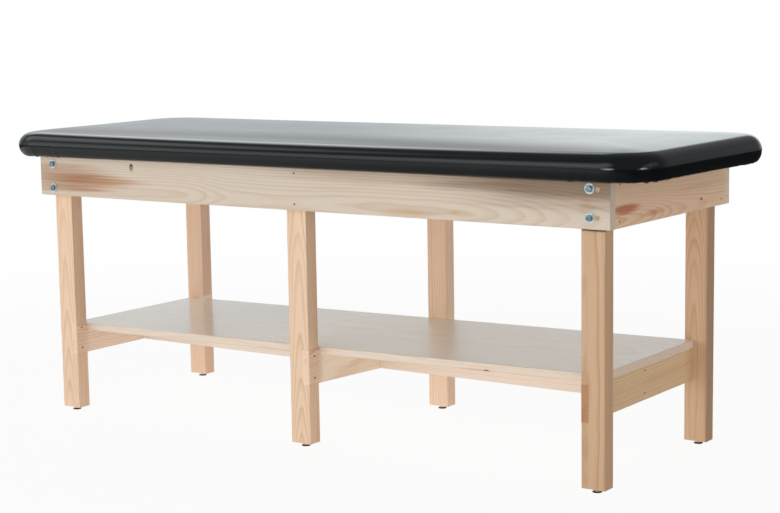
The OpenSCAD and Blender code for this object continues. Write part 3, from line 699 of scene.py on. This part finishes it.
# %% [markdown]
# The lower roll is taller than it is deep, so the part under the widest line is stretched down to
# the frame. Then the form is remeshed into even squares, because cloth needs cells of one size.

# %% Stretch the lower roll and remesh
bpy.ops.mesh.select_mode(type="VERT")
bpy.ops.mesh.select_all(action="DESELECT")
mesh = bmesh.from_edit_mesh(pad.data)
for v in mesh.verts:
    v.select_set(v.co.z < bulge_z - 0.0005)
mesh.select_flush(True)
bpy.ops.transform.resize(value=(1, 1, (bulge_z - under_z) / start_under), center_override=(0, 0, bulge_z))
bpy.ops.object.mode_set(mode="OBJECT")


def apply_modifiers(piece):
    deselect()
    piece.select_set(True)
    bpy.context.view_layer.objects.active = piece
    for modifier in list(piece.modifiers):
        bpy.ops.object.modifier_apply(modifier=modifier.name)


even = pad.modifiers.new("even cells", "REMESH")
even.mode = "VOXEL"
even.voxel_size = 0.01
even.use_smooth_shade = True
ease = pad.modifiers.new("ease", "SMOOTH")
ease.factor = 0.5
ease.iterations = 3
apply_modifiers(pad)
print("pad cells", len(pad.data.polygons))

# %% [markdown]
# Seen from its end, the top's edge is a tucked hem below the widest line, a full roll above it and then
# a slight crown. That section is kept as spokes: a list of angles and lengths round a hub inside the
# roll.

# %% Section of the top's edge
edge_roll = 0.036
edge_tuck = 0.022
droop = 0.0037
hub_in, hub_z = 0.043, bulge_z
quarter = [math.radians(a) for a in range(0, 91, 3)]
section = [(hub_in + 0.001, under_z), (0.040, under_z - 0.0006), (0.035, under_z - 0.0022),
           (0.029, under_z - 0.0033)]
section += [(edge_tuck * (1 - math.cos(a)), bulge_z - (bulge_z - under_z + droop) * math.sin(a))
            for a in reversed(quarter)]
section += [(edge_roll * (1 - math.cos(a)), bulge_z + (top_z - bulge_z) * math.sin(a)) for a in quarter]
section += [(hub_in + 0.001, top_z + crown * 0.045)]
spokes = [(math.atan2(z - hub_z, hub_in - d), math.hypot(z - hub_z, hub_in - d)) for d, z in section]
print("section points", len(section))

# %% [markdown]
# Each point of the mesh that lies inside the section is pulled out along its own spoke, which also
# says which way is out there. Further in, the top rises to its crown.

# %% Pull the cells onto the section
crown_run = 0.2


def edge_frame(x, y):
    """How far a place is inside the top's outline, and the level direction out of it."""
    out_x = abs(x) - (pad_l / 2 - corner_r)
    out_y = abs(y) - (pad_w / 2 - corner_r)
    if out_x > 0 and out_y > 0:
        reach = math.hypot(out_x, out_y)
        return corner_r - reach, math.copysign(out_x / reach, x), math.copysign(out_y / reach, y)
    if out_x > out_y:
        return corner_r - out_x, math.copysign(1, x), 0.0
    return corner_r - out_y, 0.0, math.copysign(1, y)


def spoke_length(angle):
    for (a, length_a), (b, length_b) in zip(spokes, spokes[1:]):
        if a <= angle <= b:
            return length_a + (length_b - length_a) * (angle - a) / (b - a + 1e-9)
    return spokes[-1][1] if angle > 0 else spokes[0][1]


def pull_out(place):
    """Moves a place out to the section where it lies inside it, and gives the way out there."""
    inset, out_x, out_y = edge_frame(place.x, place.y)
    if inset < hub_in:
        angle = math.atan2(place.z - hub_z, hub_in - inset)
        length = max(math.hypot(place.z - hub_z, hub_in - inset), spoke_length(angle) - start_in / 2)
        reach = inset - (hub_in - length * math.cos(angle))
        place.x += out_x * reach
        place.y += out_y * reach
        place.z = hub_z + length * math.sin(angle)
        return Vector((out_x * math.cos(angle), out_y * math.cos(angle), math.sin(angle)))
    if place.z > bulge_z:
        u = min((inset - edge_roll) / crown_run, 1)
        place.z = max(place.z, top_z - start_in / 2 + crown * (1 - (1 - u) ** 2))
        return Vector((0, 0, 1))
    place.z = under_z
    return Vector((0, 0, -1))


outward_of = [pull_out(v.co) for v in pad.data.vertices]
print("points with a way out", len(outward_of))

# %% [markdown]
# Foam pushes the cover out from inside, so the cloth gets air pressure and no gravity. The underside is
# pinned where the staples hold it. Tight cloth also pulls its corners in, which foam wouldn't allow, so
# only the part of each move that goes outwards is kept, up to a cap, and it is averaged with its
# neighbours' moves many times, because the smallest crease shows in a glossy skin.

# %% Blow up the cover
cloth_frames = 20
largest_move = 0.0028
averagings = 60
before = [v.co.copy() for v in pad.data.vertices]
held = pad.vertex_groups.new(name="stapled under the deck")
held.add([v.index for v in pad.data.vertices if v.co.z < under_z + 0.004], 1.0, "REPLACE")
cloth = pad.modifiers.new("tight vinyl", "CLOTH")
cloth.settings.use_pressure = True
cloth.settings.uniform_pressure_force = 4
cloth.settings.effector_weights.gravity = 0
cloth.settings.vertex_group_mass = held.name
cloth.settings.tension_stiffness = 30
cloth.settings.compression_stiffness = 30
cloth.settings.bending_stiffness = 4
cloth.point_cache.frame_end = cloth_frames
for step in range(1, cloth_frames + 1):
    bpy.context.scene.frame_set(step)
apply_modifiers(pad)
bpy.context.scene.frame_set(1)
moves = [min(max((v.co - start).dot(out), 0), largest_move)
         for v, start, out in zip(pad.data.vertices, before, outward_of)]
pairs = [tuple(e.vertices) for e in pad.data.edges]
neighbours = [0] * len(moves)
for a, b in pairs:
    neighbours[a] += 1
    neighbours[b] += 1
for step in range(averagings):
    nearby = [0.0] * len(moves)
    for a, b in pairs:
        nearby[a] += moves[b]
        nearby[b] += moves[a]
    moves = [(own + total / near) / 2 for own, total, near in zip(moves, nearby, neighbours)]
for v, start, out, move in zip(pad.data.vertices, before, outward_of, moves):
    v.co = start + out * move
print("largest move mm", round(1000 * max((v.co - b).length for v, b in zip(pad.data.vertices, before)), 2))

# %% [markdown]
# One subdivision smooths the cells away. The upper edge then sinks a little where people sit down on
# it, most along the middle of the front.

# %% Smooth and settle
front_sink, seat_sink, tip_sink, back_rise = 0.0027, 0.005, 0.004, 0.002
seat_reach, sink_run = 0.9, 0.22
tip_from, tip_run = 0.88, 0.1


def soften(place):
    """Lets the upper edge sink a little, most along the middle of the front and at the left tip."""
    inset = edge_frame(place.x, place.y)[0]
    rise = min(max((place.z - bulge_z) / (top_z - bulge_z), 0), 1)
    front = 0.5 - 0.5 * max(-1, min(1, place.y / (pad_w / 2 - 0.05)))
    along = max(0, 1 - (place.x / seat_reach) ** 2)
    tip = max(0, min(1, (-place.x - tip_from) / tip_run))
    sink = front * (front_sink + seat_sink * along + tip_sink * tip) - (1 - front) * back_rise
    place.z -= sink * rise * max(0, 1 - inset / sink_run) ** 2


finer = pad.modifiers.new("finer", "SUBSURF")
finer.levels = finer.render_levels = 1
apply_modifiers(pad)
for v in pad.data.vertices:
    pull_out(v.co)
    soften(v.co)
print("pad points", len(pad.data.vertices))

# %% [markdown]
# At the corners the vinyl is gathered under the edge, so the lower roll gets small irregular puckers
# there, which fade out along the sides.

# %% Puckers under the edge
pucker_top = bulge_z + 0.008
pucker_run = 0.16
pucker_push, pucker_drop = 0.0011, 0.0035
hem_in, hem_out = 0.006, 0.038
for v in pad.data.vertices:
    inset, out_x, out_y = edge_frame(v.co.x, v.co.y)
    if v.co.z < pucker_top and inset < 0.04:
        gap_x = max(pad_l / 2 - corner_r - abs(v.co.x), 0)
        gap_y = max(pad_w / 2 - corner_r - abs(v.co.y), 0)
        near = max(0, 1 - max(gap_x, gap_y) / pucker_run)
        run = math.atan2(out_y, out_x) * corner_r
        run += (v.co.x if out_x == 0 else 0) + (v.co.y if out_y == 0 else 0)
        gather = noise.noise(Vector((run * 60, 3.1, 0))) + 0.5 * noise.noise(Vector((run * 120, 7.7, 0)))
        low = min(max((pucker_top - v.co.z) / 0.03, 0), 1)
        push = gather * pucker_push * (0.2 + 0.8 * near) * low
        v.co.x += out_x * push
        v.co.y += out_y * push
        if hem_in < inset < hem_out:
            fold = math.sin(math.pi * (inset - hem_in) / (hem_out - hem_in))
            v.co.z -= max(gather, 0) * pucker_drop * near * fold
print("lowest point mm under the frame", round(1000 * (under_z - min(v.co.z for v in pad.data.vertices)), 2))

# %% [markdown]
# The deck's pocket is cut out of the underside with a block of the deck's shape, and a smaller block
# opens the hem, which leaves the cover as a clean border round the bare plywood.

# %% Cut the pocket for the deck
deck_low, deck_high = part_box("deck_board")
slack = 0.0003
pocket_r, opening_r = 0.09, 0.06
hem = 0.14


def cut_away(piece, tool):
    bpy.ops.object.mode_set(mode="OBJECT")
    knife = piece.modifiers.new("cut", "BOOLEAN")
    knife.operation = "DIFFERENCE"
    knife.solver = "EXACT"
    knife.object = tool
    apply_modifiers(piece)
    bpy.data.objects.remove(tool)


pocket, pocket_corners = rounded_block(
    "deck pocket", deck_high[0] - deck_low[0] + 2 * slack, deck_high[1] - deck_low[1] + 2 * slack,
    deck_low[2], deck_high[2] + slack, pocket_r)
cut_away(pad, pocket)
opening, opening_corners = rounded_block(
    "hem opening", pad_l - 2 * hem, pad_w - 2 * hem, under_z - 0.01, deck_low[2] + 0.001, opening_r)
cut_away(pad, opening)
deselect()
pad.select_set(True)
bpy.context.view_layer.objects.active = pad
bpy.ops.object.shade_smooth_by_angle(angle=math.radians(50))
print("pad faces", len(pad.data.polygons), "rounded corners cut", pocket_corners + opening_corners)

# %% [markdown]
# ## Vinyl
# Upholstery vinyl is a dark plastic skin with a fine pebble grain. Seen from low down it turns into a
# soft mirror of the room, which is why the flat top looks silver and the rolled edge looks black.

# %% Vinyl finish
pebble, ins, outs = new_group(
    "pebble grain", [("Scale", FLOAT, 900.0)], [("Height", FLOAT), ("Patch", FLOAT)])
where = add(pebble, "ShaderNodeTexCoord").outputs["Object"]
cells = add(pebble, "ShaderNodeTexVoronoi", {"Vector": where, "Scale": ins.outputs["Scale"]},
            feature="SMOOTH_F1").outputs["Distance"]
grit = texture(pebble, where, 2500.0, 2.0).outputs["Fac"]
rise = number(pebble, "MULTIPLY_ADD", grit, 0.3, number(pebble, "MULTIPLY", cells, 0.7))
pebble.links.new(rise, outs.inputs["Height"])
pebble.links.new(texture(pebble, where, 9.0, 3.0).outputs["Fac"], outs.inputs["Patch"])

vinyl, tree = empty_material("black vinyl")
skin_grain = add(tree, "ShaderNodeGroup", node_tree=pebble)
colour = blend(tree, skin_grain.outputs["Patch"], tint("#0c0f10"), tint("#131719"))
gloss = remap(tree, skin_grain.outputs["Patch"], (0.0, 1.0), (0.1, 0.17))
bump = add(tree, "ShaderNodeBump", {"Height": skin_grain.outputs["Height"], "Strength": 0.05,
                                    "Distance": 0.0002})
skin = add(tree, "ShaderNodeBsdfPrincipled", {
    "Base Color": colour, "Roughness": gloss, "Normal": bump.outputs[0], "IOR": 1.36})
add(tree, "ShaderNodeOutputMaterial", {"Surface": skin.outputs[0]})
pad.data.materials.clear()
pad.data.materials.append(vinyl)
print("vinyl group nodes", len(pebble.nodes))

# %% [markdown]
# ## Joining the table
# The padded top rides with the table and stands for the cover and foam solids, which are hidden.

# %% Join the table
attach(pad, "table")
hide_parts("vinyl_cover", "foam_pad")
